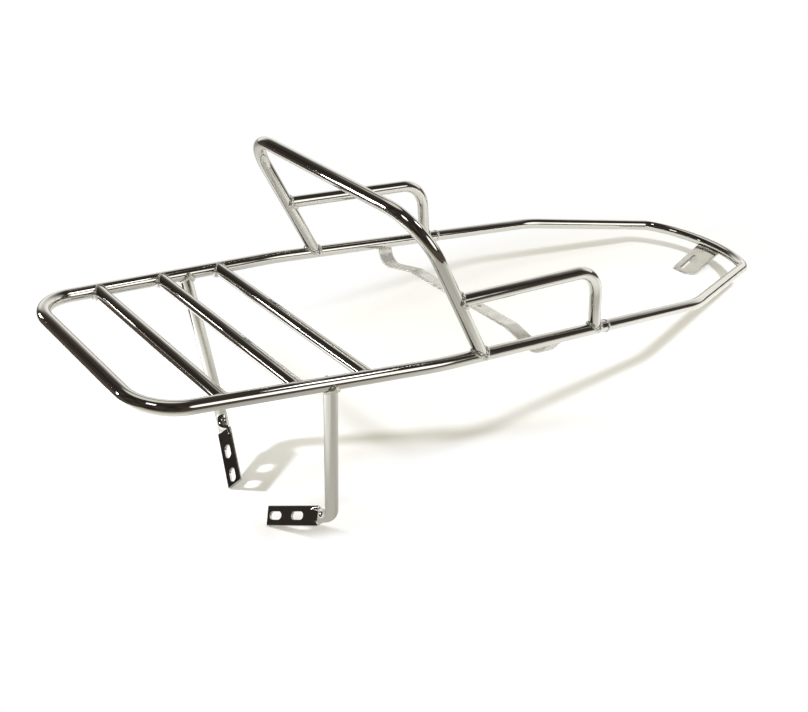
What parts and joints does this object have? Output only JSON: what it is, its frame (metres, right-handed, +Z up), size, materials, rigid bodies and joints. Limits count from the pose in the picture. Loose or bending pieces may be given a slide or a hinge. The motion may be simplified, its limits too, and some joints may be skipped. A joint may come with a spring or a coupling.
{
  "type": "motorcycle luggage rack",
  "caption": "Chrome tube rack: a flat loop round the seat and tail with slats, a leaning back hoop, grab rails, legs with slotted feet, a bolt strap and a slotted nose tab.",
  "frame": {"origin": "on the ground, below the middle of the loop's length and width", "axes": "+X to the nose of the rack and of the vehicle, +Y to the vehicle's left, +Z up; the rack stands on the ends of its two feet and of its nose tab, so its loop slopes down to the nose"},
  "size_m": [0.946, 0.318, 0.3623],
  "materials": {
    "tube_chrome": "bright chrome plating on smooth steel tube",
    "strip_chrome": "chrome plating over sheared and bent steel strip, a little duller than the tubes",
    "weld_chrome": "chrome plating over lumpy weld beads, with brownish tint in the corners"
  },
  "bodies": {
    "root": {"rear_loop": "tube_chrome", "nose_loop": "tube_chrome", "slat_rear": "tube_chrome", "slat_middle": "tube_chrome", "slat_front": "tube_chrome", "back_hoop": "tube_chrome", "grab_rail_left": "tube_chrome", "grab_rail_right": "tube_chrome", "leg_left": "tube_chrome", "leg_right": "tube_chrome", "seat_strap": "strip_chrome", "nose_tab": "strip_chrome", "loop_joint_welds": "weld_chrome", "slat_rear_welds": "weld_chrome", "slat_middle_welds": "weld_chrome", "slat_front_welds": "weld_chrome", "hoop_welds": "weld_chrome", "grab_rail_left_welds": "weld_chrome", "grab_rail_right_welds": "weld_chrome", "leg_welds": "weld_chrome", "bracket_welds": "weld_chrome"}
  },
  "joints": []
}
